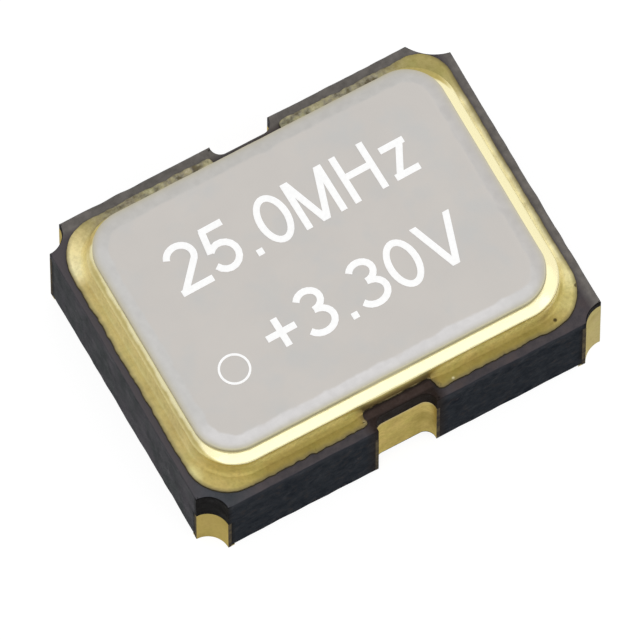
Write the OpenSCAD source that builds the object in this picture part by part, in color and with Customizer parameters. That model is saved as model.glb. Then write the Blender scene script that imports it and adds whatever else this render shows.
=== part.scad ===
// Crystal oscillator in a leadless ceramic package, all sizes in millimetres.
// The frame: X along the length, Y along the width, Z up from the undersides of the solder pads.
// Terminal 1 is at the corner of low X and low Y, beside the ring mark on the lid.

/* [Ceramic body] */
// Length of the ceramic body
body_l = 3.2; // [3.1:0.05:3.6]
// Width of the ceramic body
body_w = 2.45; // [2.4:0.05:2.8]
// Thickness of the ceramic layer that forms the floor
floor_t = 0.26; // [0.2:0.02:0.4]
// Thickness of the ceramic layer that the chip pocket is cut through
pocket_layer_t = 0.3; // [0.28:0.02:0.36]
// Thickness of the top ceramic layer, the wall round the crystal
wall_layer_t = 0.18; // [0.16:0.02:0.3]
// Width of the top ceramic layer between its outer edge and the cavity
wall_w = 0.4; // [0.36:0.01:0.44]
// Width of the ledge between the short walls of the cavity and the chip pocket
ledge_w = 0.45; // [0.43:0.01:0.5]
// Corner radius of the cavity and of the chip pocket
cavity_r = 0.12; // [0.06:0.01:0.14]

/* [Edge notches] */
// Radius of the holes in the ceramic sheet that leave a notch at the enable and supply terminals
corner_notch_r = 0.165; // [0.13:0.005:0.2]
// Radius of the hole that leaves a notch at the ground terminal
ground_notch_r = 0.18; // [0.16:0.005:0.2]
// Radius of the larger hole that leaves a shallow notch in the corner of the output terminal
wide_notch_r = 0.38; // [0.36:0.01:0.42]
// How far beyond the short side the middle of that larger hole lies
wide_notch_x = 0.076; // [0.06:0.002:0.1]
// How far beyond the long side the middle of that larger hole lies
wide_notch_y = 0.182; // [0.16:0.002:0.2]
// How far inside the short side the hole at the ground terminal lies
ground_notch_x = 0.012; // [0:0.002:0.03]
// How far beyond the long side the hole at the ground terminal lies
ground_notch_y = 0.085; // [0.06:0.005:0.1]
// Length of the notch in the middle of each long side
side_notch_l = 0.465; // [0.4:0.005:0.6]
// Depth of the side notch
side_notch_d = 0.095; // [0.085:0.005:0.13]
// Corner radius of the side notch
side_notch_r = 0.08; // [0.05:0.005:0.08]

/* [Terminals] */
// Thickness of the gold-plated metal let into the notch walls
plating_t = 0.025; // [0.015:0.005:0.03]
// How far the metal in the notches of the enable and output terminals rises above the floor layer
low_plating_rise = 0.16; // [0.06:0.02:0.24]
// How far the metal in the notches of the ground and supply terminals rises above the ledge
tall_plating_rise = 0.1; // [0.04:0.01:0.14]
// Thickness of each solder pad
pad_t = 0.02; // [0.01:0.005:0.05]
// Length of each solder pad along X
pad_l = 0.9; // [0.6:0.05:1.1]
// Width of each solder pad along Y
pad_w = 0.8; // [0.6:0.05:0.9]
// Bare ceramic between a solder pad and the edges of the body
pad_margin = 0.05; // [0.02:0.01:0.08]
// Size of the cut inner corner that marks the pad of terminal 1
index_cut = 0.2; // [0.1:0.02:0.3]
// Bare ceramic below the metal of each side notch
side_contact_lift = 0.02; // [0.01:0.01:0.1]

/* [Leads] */
// Thickness of the printed metal between and on the ceramic layers
lead_t = 0.015; // [0.01:0.001:0.02]
// Width of a printed lead
lead_w = 0.06; // [0.04:0.01:0.08]
// Length of the land at the inner end of a lead, where a bond wire ends
land_l = 0.22; // [0.18:0.02:0.24]
// Width of that land
land_w = 0.12; // [0.1:0.01:0.14]
// Bare ceramic between a land and the edge of the chip pocket
land_margin = 0.02; // [0.01:0.01:0.04]
// Radius of the metal-filled hole that joins a land to the lead below it
via_r = 0.04; // [0.03:0.005:0.045]
// Bare ceramic between a buried lead and the outer faces of the body
lead_cover = 0.06; // [0.04:0.01:0.08]

/* [Seal] */
// Bare ceramic between the seal band and the short sides of the body
band_margin_x = 0.06; // [0.04:0.005:0.08]
// Bare ceramic between the seal band and the long sides of the body
band_margin_y = 0.07; // [0.05:0.005:0.09]
// Offset of the printed seal band along X from the middle of the body
band_shift_x = -0.01; // [-0.02:0.002:0.02]
// Offset of the printed seal band along Y from the middle of the body
band_shift_y = -0.006; // [-0.02:0.002:0.02]
// Outer corner radius of the seal band
band_r = 0.32; // [0.3:0.01:0.38]
// Thickness of the seal band
band_t = 0.02; // [0.01:0.005:0.03]
// How far past a side notch the seal band is left out
band_gap_margin = 0.04; // [0.02:0.005:0.06]
// Seal band outside the short sides of the seal ring
ring_inset_x = 0.09; // [0.08:0.005:0.11]
// Seal band outside the long sides of the seal ring
ring_inset_y = 0.105; // [0.09:0.005:0.115]
// Width of the seal ring's wall
ring_wall = 0.2; // [0.18:0.01:0.22]
// Height of the seal ring
ring_h = 0.19; // [0.14:0.01:0.26]
// Outer corner radius of the seal ring
ring_r = 0.34; // [0.3:0.01:0.4]
// Radius of the punched upper edge of the seal ring
ring_edge_r = 0.05; // [0.02:0.01:0.06]
// Width of the braze fillet at the foot of the ring
fillet_w = 0.05; // [0.03:0.005:0.06]
// Height of the braze fillet
fillet_h = 0.07; // [0.04:0.01:0.1]

/* [Lid] */
// Seal ring outside the short sides of the lid
lid_inset_x = 0.065; // [0.05:0.005:0.08]
// Seal ring outside the long sides of the lid
lid_inset_y = 0.05; // [0.03:0.005:0.07]
// Corner radius of the lid
lid_r = 0.3; // [0.26:0.01:0.36]
// Thickness of the lid
lid_t = 0.08; // [0.06:0.01:0.12]
// Thickness of the lid at its welded edge
lid_edge_t = 0.05; // [0.03:0.01:0.05]
// Width of the sloping rim that the welding rollers left
lid_rim_w = 0.11; // [0.08:0.01:0.15]
// Offset of the lid along X from the middle of the ring
lid_shift_x = -0.022; // [-0.03:0.002:0.03]
// Offset of the lid along Y from the middle of the ring
lid_shift_y = 0.01; // [-0.02:0.002:0.02]

/* [Marking] */
// Height of the capitals and digits
cap_h = 0.387; // [0.3:0.01:0.42]
// Stroke width of the characters
stroke_w = 0.05; // [0.03:0.005:0.06]
// Thickness of the ink
ink_t = 0.005; // [0.003:0.001:0.01]
// Turn of the marking on the lid, in degrees
marking_turn = 1.35; // [-3:0.05:3]
// Left end of the first line, from the middle of the body
line_1_x = -0.99; // [-1.1:0.01:-0.9]
// Baseline of the first line
line_1_y = 0.21; // [0.1:0.01:0.3]
// Left end of the second line
line_2_x = -0.66; // [-0.7:0.01:-0.6]
// Baseline of the second line
line_2_y = -0.53; // [-0.6:0.01:-0.4]
// Outer radius of the ring mark beside terminal 1
dot_r = 0.118; // [0.08:0.002:0.14]
// Line width of that ring mark
dot_line_w = 0.017; // [0.01:0.001:0.03]
// Middle of the ring mark to the left of the second line
dot_gap = 0.285; // [0.2:0.005:0.3]
// Middle of the ring mark above the baseline of the second line
dot_rise = 0.097; // [0:0.005:0.2]

/* [Chip] */
// Width of the oscillator chip
chip_w = 0.9; // [0.85:0.05:1]
// Thickness of the chip
chip_t = 0.15; // [0.1:0.01:0.18]
// Clearance between the chip and the short walls of its pocket
chip_gap_x = 0.2; // [0.16:0.01:0.22]
// Clearance between the chip and the long walls of its pocket
chip_gap_y = 0.2; // [0.16:0.01:0.22]
// Thickness of the metal pad under the chip
die_pad_t = 0.01; // [0.008:0.001:0.02]
// Metal pad beyond the edges of the chip
die_pad_margin = 0.1; // [0.06:0.01:0.12]
// Thickness of the adhesive under the chip
die_attach_t = 0.02; // [0.01:0.005:0.03]
// Adhesive squeezed out beyond the edges of the chip
die_attach_margin = 0.04; // [0.02:0.01:0.05]
// Side of each square bond pad on the chip
bond_pad = 0.1; // [0.09:0.005:0.12]
// Thickness of the metal on the bond pads
bond_pad_t = 0.004; // [0.002:0.001:0.006]
// Clearance between a bond pad and the edge of the chip
bond_pad_margin = 0.03; // [0.02:0.005:0.05]
// Middles of the signal and supply pads at the crystal's mounted end, either side of the middle
pad_row_mounted = 0.11; // [0.09:0.01:0.13]
// Middles of the two pads at the other end of the chip
pad_row_free = 0.3; // [0.2:0.01:0.32]
// Middles of the two crystal pads
pad_row_crystal = 0.32; // [0.28:0.01:0.34]
// Diameter of the bond wires
wire_d = 0.025; // [0.018:0.001:0.028]

/* [Crystal] */
// Fundamental frequency in megahertz, which sets the thickness of the quartz and the marking
frequency_mhz = 25; // [16:1:50]
// Supply voltage, which only the marking shows
supply_v = 3.3; // [1.8:0.1:3.3]
// Clearance between the quartz plate and the short walls of the cavity
crystal_gap_x = 0.14; // [0.1:0.01:0.16]
// Clearance between the quartz plate and the long walls of the cavity
crystal_gap_y = 0.16; // [0.08:0.01:0.2]
// Height of the metal bump that each mounted corner of the crystal stands on
bump_h = 0.05; // [0.045:0.005:0.08]
// Length of that bump along X
bump_l = 0.24; // [0.2:0.01:0.26]
// Clearance between that bump and the land beside it
bump_gap = 0.165; // [0.145:0.005:0.225]
// How far the bumps stand out past the short end of the quartz plate
bump_out_x = 0.07; // [0.03:0.01:0.09]
// How far the bumps stand out past the long sides of the quartz plate
bump_out_y = 0.01; // [0:0.005:0.03]
// Thickness of the conductive adhesive between bump and crystal
adhesive_t = 0.025; // [0.02:0.005:0.04]
// Radius of each spot of conductive adhesive
adhesive_r = 0.11; // [0.08:0.01:0.12]
// How far the adhesive bulges out between its faces
adhesive_bulge = 0.012; // [0.005:0.001:0.02]
// Bare quartz between the electrodes and the short ends of the plate
electrode_margin = 0.51; // [0.4:0.01:0.6]
// Width over which an electrode and the tab to its foot run into each other
electrode_join = 0.09; // [0.06:0.01:0.12]
// Thickness of the electrodes
electrode_t = 0.005; // [0.003:0.001:0.008]
// Corner radius of the pads, lands, bumps and electrodes, as printed
print_r = 0.04; // [0.02:0.005:0.06]

/* [Hidden] */
CORNERS = ["enable", "ground", "output", "supply"];
SIDES = ["front", "back"];

// Signs of X and Y of each corner and side, in the order of the names above
corner_sign = [[-1, -1], [1, -1], [1, 1], [-1, 1]];
side_sign = [-1, 1];

// Heights of the faces that pieces stand on
pocket_z = pad_t + floor_t;
ledge_z = pocket_z + pocket_layer_t;
ceramic_top = ledge_z + wall_layer_t;
ring_z = ceramic_top + band_t;
lid_z = ring_z + ring_h;
lid_top = lid_z + lid_t;
land_z = ledge_z + lead_t;
die_z = pocket_z + die_pad_t + die_attach_t;
chip_top = die_z + chip_t;
bump_top = land_z + bump_h;
crystal_z = bump_top + adhesive_t + electrode_t;

// Plan sizes worked out from the driving ones
half_body = [body_l, body_w] / 2;
cavity_l = body_l - 2 * wall_w;
cavity_w = body_w - 2 * wall_w;
pocket_l = cavity_l - 2 * ledge_w;
pocket_w = chip_w + 2 * chip_gap_y;
chip_l = pocket_l - 2 * chip_gap_x;
band_l = body_l - 2 * band_margin_x;
band_w = body_w - 2 * band_margin_y;
ring_l = band_l - 2 * ring_inset_x;
ring_w = band_w - 2 * ring_inset_y;
lid_l = ring_l - 2 * lid_inset_x;
lid_w = ring_w - 2 * lid_inset_y;
crystal_l = cavity_l - 2 * crystal_gap_x;
crystal_w = cavity_w - 2 * crystal_gap_y;
electrode_l = crystal_l - 2 * electrode_margin;

// Radius and middle of each corner's hole, the middle measured outwards from the corner
notch_r = [corner_notch_r, ground_notch_r, wide_notch_r, corner_notch_r];
notch_at = [[0, 0], [-ground_notch_x, ground_notch_y], [wide_notch_x, wide_notch_y], [0, 0]];

// The level that each corner's lead leaves by, and the top of the metal in its notch
lead_z = [pocket_z, ledge_z, pocket_z, ledge_z];
plating_rise = [low_plating_rise, tall_plating_rise, low_plating_rise, tall_plating_rise];
plating_top = lead_z + plating_rise;

// An AT-cut plate's thickness in millimetres is this constant over its frequency in megahertz
at_cut_constant = 1.661;
crystal_t = at_cut_constant / frequency_mhz;

gold = "#b9a24c";
nickel = "#c9c6c1";
alumina = "#3a3840";

// Middle of the crystal's mounting bumps, and the inner ends of the lands on the ledge
bump_x = -(crystal_l - bump_l) / 2 - bump_out_x;
bump_in_y = pad_row_mounted + land_w / 2 + bump_gap;
bump_w = crystal_w / 2 + bump_out_y - bump_in_y;
bump_y = bump_in_y + bump_w / 2;
land_edge = pocket_l / 2 + land_margin;
// Middle of the free part of a crystal lead's finger, between the pocket and the bump
finger_x = (bump_x + bump_l / 2 - land_edge) / 2;
finger_y = bump_in_y + land_w / 2;
electrode_w = 2 * (bump_in_y + electrode_join);
// Where the buried leads run: along the middle of the long walls' ledge and of the short walls
side_run_y = (pocket_w + cavity_w) / 4;
buried_x = (body_l - wall_w) / 2;

function sum(v, n) = n <= 0 ? 0 : v[n - 1] + sum(v, n - 1);
function arc(c, r, a0, a1, n = 14) =
    [for (i = [0:n]) let (a = a0 + (a1 - a0) * i / n) [c.x + r.x * cos(a), c.y + r.y * sin(a)]];
// Y of the signal and supply rows, which differ between the two ends of the chip
function row_y(i) = corner_sign[i].x < 0 ? pad_row_mounted : pad_row_free;

module rounded_rect(l, w, r) {
    square([l - 2 * r, w], center = true);
    square([l, w - 2 * r], center = true);
    for (x = [-1, 1], y = [-1, 1])
        translate([x * (l / 2 - r), y * (w / 2 - r)]) circle(r, $fn = 96);
}

// Sweeps a profile round a rounded rectangle: x = 0 is its outer edge, and y is up
module swept_frame(l, w, r) {
    for (k = [0:3]) {
        reach = (k % 2 == 0 ? l : w) / 2;
        run = (k % 2 == 0 ? w : l) - 2 * r;
        rotate([0, 0, 90 * k]) {
            translate([reach, run / 2, 0]) rotate([90, 0, 0]) linear_extrude(run) children();
            translate([reach - r, run / 2, 0])
                rotate_extrude(angle = 90, $fn = 96) translate([r, 0]) children();
        }
    }
}

// A box between two corners given in any order
module block(p, q) {
    translate([min(p.x, q.x), min(p.y, q.y), min(p.z, q.z)])
        cube([abs(p.x - q.x), abs(p.y - q.y), abs(p.z - q.z)]);
}

// A strip of metal between two points on one axis, square at its ends
module strip(p, q, w) {
    translate([min(p.x, q.x) - w / 2, min(p.y, q.y) - w / 2])
        square([abs(p.x - q.x) + w, abs(p.y - q.y) + w]);
}

// Turns what is drawn for the corner of high X and high Y over to the given corner
module at_corner(i) {
    mirror([corner_sign[i].x < 0 ? 1 : 0, 0, 0])
        mirror([0, corner_sign[i].y < 0 ? 1 : 0, 0]) children();
}

module corner_notch(i, grow) {
    translate(half_body + notch_at[i]) circle(notch_r[i] + grow, $fn = 64);
}

module side_notch(side, grow) {
    translate([0, side * body_w / 2])
        rounded_rect(side_notch_l + 2 * grow, 2 * (side_notch_d + grow), side_notch_r + grow);
}

// The metal let into a corner notch, seen from above, its face flush with the bare ceramic
module corner_plating_outline(i) {
    difference() {
        intersection() {
            square(half_body);
            corner_notch(i, plating_t);
        }
        corner_notch(i, 0);
    }
}

// Three layers of dark alumina fired into one piece, with room for the metal between them
module ceramic_base() {
    color(alumina) difference() {
        translate([0, 0, pad_t]) linear_extrude(ceramic_top - pad_t) difference() {
            square([body_l, body_w], center = true);
            for (i = [0:3]) at_corner(i) corner_notch(i, 0);
            for (side = side_sign) side_notch(side, 0);
        }
        translate([0, 0, ledge_z])
            linear_extrude(wall_layer_t + band_t) rounded_rect(cavity_l, cavity_w, cavity_r);
        translate([0, 0, pocket_z])
            linear_extrude(pocket_layer_t + band_t) rounded_rect(pocket_l, pocket_w, cavity_r);
        for (i = [0:3]) at_corner(i) {
            linear_extrude(plating_top[i]) corner_notch(i, plating_t);
            buried_lead(i);
        }
        for (side = side_sign) {
            translate([0, 0, pad_t + side_contact_lift])
                linear_extrude(land_z - pad_t - side_contact_lift) side_notch(side, plating_t);
            translate([0, 0, ledge_z]) linear_extrude(lead_t) crystal_lead_outline(side);
        }
    }
}

// A solder pad on the underside with the plated wall of its corner notch, one metal layer
module terminal(i) {
    pad_corner = half_body - [pad_margin, pad_margin] - [pad_l, pad_w];
    color(gold) at_corner(i) {
        linear_extrude(pad_t) difference() {
            union() {
                translate(pad_corner + [pad_l, pad_w] / 2) rounded_rect(pad_l, pad_w, print_r);
                intersection() {
                    square(half_body);
                    corner_notch(i, pad_margin);
                }
            }
            corner_notch(i, 0);
            if (i == 0) translate(pad_corner) rotate([0, 0, 45]) square(index_cut, center = true);
        }
        linear_extrude(plating_top[i]) corner_plating_outline(i);
    }
}

// The plated wall of a side notch, through which the crystal is tested before the lid goes on
module side_contact(side) {
    color(gold) translate([0, 0, pad_t + side_contact_lift])
        linear_extrude(land_z - pad_t - side_contact_lift) difference() {
            intersection() {
                square([body_l, body_w], center = true);
                side_notch(side, plating_t);
            }
            side_notch(side, 0);
        }
}

// The hidden part of a corner's lead: out to the notch on the ledge, or a layer further down
module buried_lead(i) {
    from = [land_edge + land_l - via_r - land_margin, row_y(i)];
    end = half_body - [lead_cover + lead_w, lead_cover + lead_w];
    if (lead_z[i] < ledge_z) translate([from.x, from.y, lead_z[i]])
        cylinder(ledge_z - lead_z[i], r = via_r, $fn = 32);
    translate([0, 0, lead_z[i]]) linear_extrude(lead_t) difference() {
        union() {
            strip(from, [buried_x, from.y], lead_w);
            strip([buried_x, from.y], [buried_x, end.y], lead_w);
            strip([buried_x, end.y], end, 2 * lead_w);
        }
        corner_notch(i, plating_t);
    }
}

// The whole lead: its land beside the chip pocket, and what is buried
module lead(i) {
    color(gold) at_corner(i) {
        translate([land_edge + land_l / 2, row_y(i), ledge_z]) linear_extrude(lead_t)
            rounded_rect(land_l, land_w, print_r);
        buried_lead(i);
    }
}

// The land under a mounting bump, with a finger for the wire and a run to the side notch
module crystal_lead_outline(side) {
    difference() {
        union() {
            translate([bump_x, side * bump_y]) square([bump_l, bump_w], center = true);
            strip([bump_x, side * finger_y], [-land_edge - land_w / 2, side * finger_y], land_w);
            strip([bump_x, side * bump_y], [bump_x, side * side_run_y], lead_w);
            strip([bump_x, side * side_run_y], [0, side * side_run_y], lead_w);
            strip([0, side * side_run_y], [0, side * (body_w - side_notch_d) / 2], lead_w);
        }
        side_notch(side, plating_t);
    }
}

module crystal_lead(side) {
    color(gold) {
        translate([0, 0, ledge_z]) linear_extrude(lead_t) crystal_lead_outline(side);
        translate([bump_x, side * bump_y, land_z])
            linear_extrude(bump_h) rounded_rect(bump_l, bump_w, print_r);
    }
}

// The stretch beside each side notch where the seal band and the braze are left out
module band_gap(side) {
    translate([0, side * body_w / 2])
        rounded_rect(side_notch_l + 2 * band_gap_margin, body_w - ring_w, print_r);
}

// Metal printed and plated on the ceramic, which the ring is brazed to
module seal_band() {
    color(gold) translate([0, 0, ceramic_top]) linear_extrude(band_t) difference() {
        translate([band_shift_x, band_shift_y]) rounded_rect(band_l, band_w, band_r);
        rounded_rect(cavity_l, cavity_w, cavity_r);
        for (side = side_sign) band_gap(side);
    }
}

// Silver-copper braze drawn up the foot of the ring, concave outwards
module braze_fillet() {
    color(gold) difference() {
        translate([0, 0, ring_z]) swept_frame(ring_l, ring_w, ring_r)
            polygon(concat([[0, 0]], arc([fillet_w, fillet_h], [fillet_w, fillet_h], 270, 180, 6)));
        for (side = side_sign)
            translate([0, 0, ring_z]) linear_extrude(ring_h) band_gap(side);
    }
}

// Ring punched from iron-nickel-cobalt alloy, plated with nickel and gold
module seal_ring() {
    color(gold) translate([0, 0, ring_z]) swept_frame(ring_l, ring_w, ring_r)
        polygon(concat([[-ring_wall, 0], [0, 0]],
            arc([-ring_edge_r, ring_h - ring_edge_r], [ring_edge_r, ring_edge_r], 0, 90, 6),
            [[-ring_wall, ring_h]]));
}

// Thin nickel-plated lid, pressed down along its rim by the seam welder's rollers
module lid() {
    drop = lid_t - lid_edge_t;
    color(nickel) translate([lid_shift_x, lid_shift_y, lid_z]) {
        linear_extrude(lid_t)
            rounded_rect(lid_l - 2 * lid_rim_w, lid_w - 2 * lid_rim_w, lid_r - lid_rim_w);
        swept_frame(lid_l, lid_w, lid_r)
            polygon(concat([[-lid_rim_w - drop, 0], [0, 0]],
                arc([-lid_rim_w, lid_edge_t], [lid_rim_w, drop], 0, 90, 6),
                [[-lid_rim_w - drop, lid_t]]));
    }
}

// A line of even width through a list of points
module ribbon(pts, w) {
    last = len(pts) - 1;
    side = [for (i = [0:last])
        let (d = pts[min(i + 1, last)] - pts[max(i - 1, 0)]) [-d.y, d.x] / norm(d) * w / 2];
    polygon(concat([for (i = [0:last]) pts[i] - side[i]],
        [for (i = [last:-1:0]) pts[i] + side[i]]));
}

// An oval line, drawn as the area between two ellipses
module oval(c, r, w) {
    n = 32;
    outer = [for (i = [0:n - 1]) arc(c, r + [w, w] / 2, 0, 360, n)[i]];
    inner = [for (i = [0:n - 1]) arc(c, r - [w, w] / 2, 0, 360, n)[i]];
    polygon(concat(outer, inner), [[for (i = [0:n - 1]) i], [for (i = [0:n - 1]) n + i]]);
}

// The characters fill a cell one capital high. Widths and strokes are in parts of that height
char_w = 0.646;
char_s = stroke_w / cap_h;
low = char_s / 2;
high = 1 - char_s / 2;
right = char_w - char_s / 2;
middle = char_w / 2;
bowl_r = middle - char_s / 2;
waist = 0.535;
M_w = 0.85;
H_w = 0.7;
z_w = 0.5;
z_h = 0.73;
stroke_over = 0.05;
V_w = 0.82;
plus_w = 0.6;

function advance(c) = c == "." ? 0.37 : c == "M" ? 1.02 : c == "H" ? 0.88 : c == "z" ? 0.62
    : c == "+" ? 0.78 : c == "V" ? 0.88 : 0.734;

module six() {
    oval([middle, 0.325], [bowl_r, 0.325 - low], char_s);
    ribbon(arc([middle + 0.04, 0.46], [bowl_r + 0.04, high - 0.46], 190, 42), char_s);
}

module character(c) {
    if (c == "0") oval([middle, 0.5], [bowl_r, 0.5 - low], char_s);
    if (c == "1") {
        translate([0.34, 0]) square([char_s, 1]);
        ribbon([[0.4, 0.97], [0.3, 0.83], [0.13, 0.75]], char_s);
    }
    if (c == "2") {
        ribbon(concat(arc([middle, 0.7], [bowl_r, high - 0.7], 165, -30), [[low, low]]), char_s);
        square([char_w, char_s]);
    }
    if (c == "3") {
        ribbon(arc([middle - 0.02, (high + waist) / 2], [bowl_r - 0.03, (high - waist) / 2],
            155, -90), char_s);
        ribbon(arc([middle - 0.02, (low + waist) / 2], [bowl_r + 0.02, (waist - low) / 2],
            90, -155), char_s);
    }
    if (c == "4") {
        translate([0.4, 0]) square([char_s, 1]);
        translate([0, 0.24]) square([char_w, char_s]);
        ribbon([[0.44, 0.95], [0.05, 0.3]], char_s);
    }
    if (c == "5") {
        translate([0.12, 1 - char_s]) square([0.46, char_s]);
        ribbon([[0.17, 0.95], [0.1, 0.48]], char_s);
        ribbon(arc([middle - 0.01, 0.33], [bowl_r, 0.33 - low], 140, -155), char_s);
    }
    if (c == "6") six();
    if (c == "7") {
        translate([0.02, 1 - char_s]) square([char_w - 0.02, char_s]);
        ribbon([[right, 0.93], [0.36, 0.5], [0.24, 0]], char_s);
    }
    if (c == "8") {
        oval([middle, (high + waist) / 2], [bowl_r - 0.03, (high - waist) / 2], char_s);
        oval([middle, (low + waist) / 2], [bowl_r, (waist - low) / 2], char_s);
    }
    if (c == "9") translate([char_w, 1]) rotate([0, 0, 180]) six();
    if (c == ".") translate([0.1, 0]) square(char_s);
    if (c == "+") translate([0.06 + plus_w / 2, 0.46]) {
        square([plus_w, char_s], center = true);
        square([char_s, plus_w], center = true);
    }
    if (c == "M") intersection() {
        square([M_w, 1]);
        union() {
            for (x = [0, M_w - char_s]) translate([x, 0]) square([char_s, 1]);
            for (x = [low, M_w - low]) ribbon([[x, 1 + stroke_over], [M_w / 2, -0.02]], char_s);
        }
    }
    if (c == "H") {
        for (x = [0, H_w - char_s]) translate([x, 0]) square([char_s, 1]);
        translate([0, 0.47]) square([H_w, char_s]);
    }
    if (c == "z") {
        for (y = [0, z_h - char_s]) translate([0, y]) square([z_w, char_s]);
        ribbon([[char_s * 0.7, low], [z_w - char_s * 0.7, z_h - low]], char_s);
    }
    if (c == "V") intersection() {
        square([V_w, 1]);
        for (x = [low, V_w - low]) ribbon([[x - 0.02 * sign(V_w / 2 - x), 1 + stroke_over],
            [V_w / 2, -0.02]], char_s);
    }
}

module text_line(words) {
    widths = [for (c = words) advance(c)];
    scale(cap_h) for (i = [0:len(words) - 1]) translate([sum(widths, i), 0]) character(words[i]);
}

// The plain rating printed in white on the lid, and the ring that shows terminal 1
module lid_marking() {
    tenths = floor(supply_v * 10 + 0.5);
    color("white") translate([0, 0, lid_top]) linear_extrude(ink_t) {
        translate([line_1_x, line_1_y]) rotate([0, 0, marking_turn])
            text_line(str(frequency_mhz, ".0MHz"));
        translate([line_2_x, line_2_y]) rotate([0, 0, marking_turn])
            text_line(str("+", floor(tenths / 10), ".", tenths % 10, "0V"));
        translate([line_2_x - dot_gap, line_2_y + dot_rise]) difference() {
            circle(dot_r, $fn = 64);
            circle(dot_r - dot_line_w, $fn = 64);
        }
    }
}

// Metal printed on the floor of the pocket
module die_pad() {
    color(gold) translate([0, 0, pocket_z]) linear_extrude(die_pad_t)
        rounded_rect(chip_l + 2 * die_pad_margin, chip_w + 2 * die_pad_margin, print_r);
}

// Silver-filled adhesive that holds the chip down
module die_attach() {
    color("silver") translate([0, 0, pocket_z + die_pad_t]) linear_extrude(die_attach_t)
        rounded_rect(chip_l + 2 * die_attach_margin, chip_w + 2 * die_attach_margin, print_r);
}

// Bond pads: two pairs at the crystal's mounted end and one pair at its free end
bond_x = chip_l / 2 - bond_pad_margin - bond_pad / 2;
chip_pads = [for (i = [0:3]) [corner_sign[i].x * bond_x, corner_sign[i].y * row_y(i)],
    for (side = side_sign) [-bond_x, side * pad_row_crystal]];

// Silicon chip with the oscillator circuit, its bond pads standing just proud
module oscillator_chip() {
    color("dimgray") translate([0, 0, die_z]) {
        translate([-chip_l / 2, -chip_w / 2, 0]) cube([chip_l, chip_w, chip_t]);
        for (p = chip_pads) translate([p.x - bond_pad / 2, p.y - bond_pad / 2, chip_t])
            cube([bond_pad, bond_pad, bond_pad_t]);
    }
}

// Gold wire from a ball on the chip, up and over to a flat stitch on a land. It lies in one
// upright plane, so each ring is [distance along the ground, height, lean, radius].
wire_sides = 8;
// The ball's rings as [height, radius], and the neck, crest and stitch, in wire diameters
ball_rings = [[0, 1.3], [0.3, 1.6], [0.7, 1.4], [1, 0.5]];
wire_neck = 1.2;
wire_crest = 2.2;
wire_stitch = 2;
// How far over the way to the land the loop stays high
wire_lean = 0.55;

function bezier(p, t) = p[0] * pow(1 - t, 3) + 3 * p[1] * t * pow(1 - t, 2)
    + 3 * p[2] * t * t * (1 - t) + p[3] * pow(t, 3);
function loop_slope(p, t, e = 0.01) =
    let (d = bezier(p, t + e) - bezier(p, t - e)) atan2(d.y, d.x);

module bond_wire(from, to) {
    r = wire_d / 2;
    start = chip_top + bond_pad_t;
    end_z = land_z + r * cos(180 / wire_sides);
    stitch_l = wire_stitch * wire_d;
    reach = norm(to - from) - stitch_l / 2;
    crest = land_z + wire_crest * wire_d;
    p = [[0, start + wire_neck * wire_d], [0, crest], [wire_lean * reach, crest], [reach, end_z]];
    ball = [for (b = ball_rings) [0, start + b[0] * wire_d, 90, b[1] * wire_d]];
    loop = [for (i = [0:11]) let (t = i / 12, q = bezier(p, t))
        [q.x, q.y, i == 0 ? 90 : loop_slope(p, t), r]];
    stitch = [[reach, end_z, 0, r], [reach + stitch_l, end_z, 0, r]];
    rings = concat(ball, loop, stitch);
    pts = [for (g = rings, k = [0:wire_sides - 1]) let (a = (k + 0.5) * 360 / wire_sides)
        [g[0] - g[3] * sin(a) * sin(g[2]), g[3] * cos(a), g[1] + g[3] * sin(a) * cos(g[2])]];
    n = wire_sides;
    m = len(rings) - 1;
    color("gold") translate([from.x, from.y, 0])
        rotate([0, 0, atan2(to.y - from.y, to.x - from.x)])
        polyhedron(pts, concat([[for (k = [0:n - 1]) k]],
            [for (i = [0:m - 1], k = [0:n - 1]) let (k2 = (k + 1) % n)
                [i * n + k, (i + 1) * n + k, (i + 1) * n + k2, i * n + k2]],
            [[for (k = [n - 1:-1:0]) m * n + k]]));
}

// The middle of the land that each wire is stitched to, in the order of the chip's pads
wire_ends = [for (i = [0:3]) [corner_sign[i].x * (land_edge + land_l / 2), corner_sign[i].y * row_y(i)],
    for (side = side_sign) [finger_x, side * finger_y]];

// Spot of silver-filled adhesive, bulging a little between the bump and the crystal
module adhesive(side) {
    color("silver") translate([bump_x, side * bump_y, bump_top]) rotate_extrude($fn = 48)
        polygon([[0, 0], [adhesive_r - adhesive_bulge, 0], [adhesive_r, adhesive_t / 2],
            [adhesive_r - adhesive_bulge, adhesive_t], [0, adhesive_t]]);
}

// AT-cut quartz, held at its two corners over the bumps and free at its other end
module quartz_plate() {
    color("lightcyan") translate([-crystal_l / 2, -crystal_w / 2, crystal_z])
        cube([crystal_l, crystal_w, crystal_t]);
}

// One electrode: its field, and a tab to the foot in the mounted corner on the given side
module electrode_outline(side, wrap) {
    rounded_rect(electrode_l, electrode_w, print_r);
    strip([-electrode_l / 2, side * (bump_in_y + lead_w)],
        [-(crystal_l - bump_l) / 2, side * (bump_in_y + lead_w)], 2 * lead_w);
    electrode_foot(side, wrap);
}

// The foot over a bump, which may wrap round the end of the plate
module electrode_foot(side, wrap) {
    out_y = crystal_w / 2;
    translate([-crystal_l / 2 - wrap, min(side * bump_in_y, side * out_y)])
        square([bump_l + wrap, out_y - bump_in_y]);
}

module electrode_bottom() {
    color("silver") translate([0, 0, crystal_z - electrode_t])
        linear_extrude(electrode_t) electrode_outline(-1, 0);
}

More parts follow.
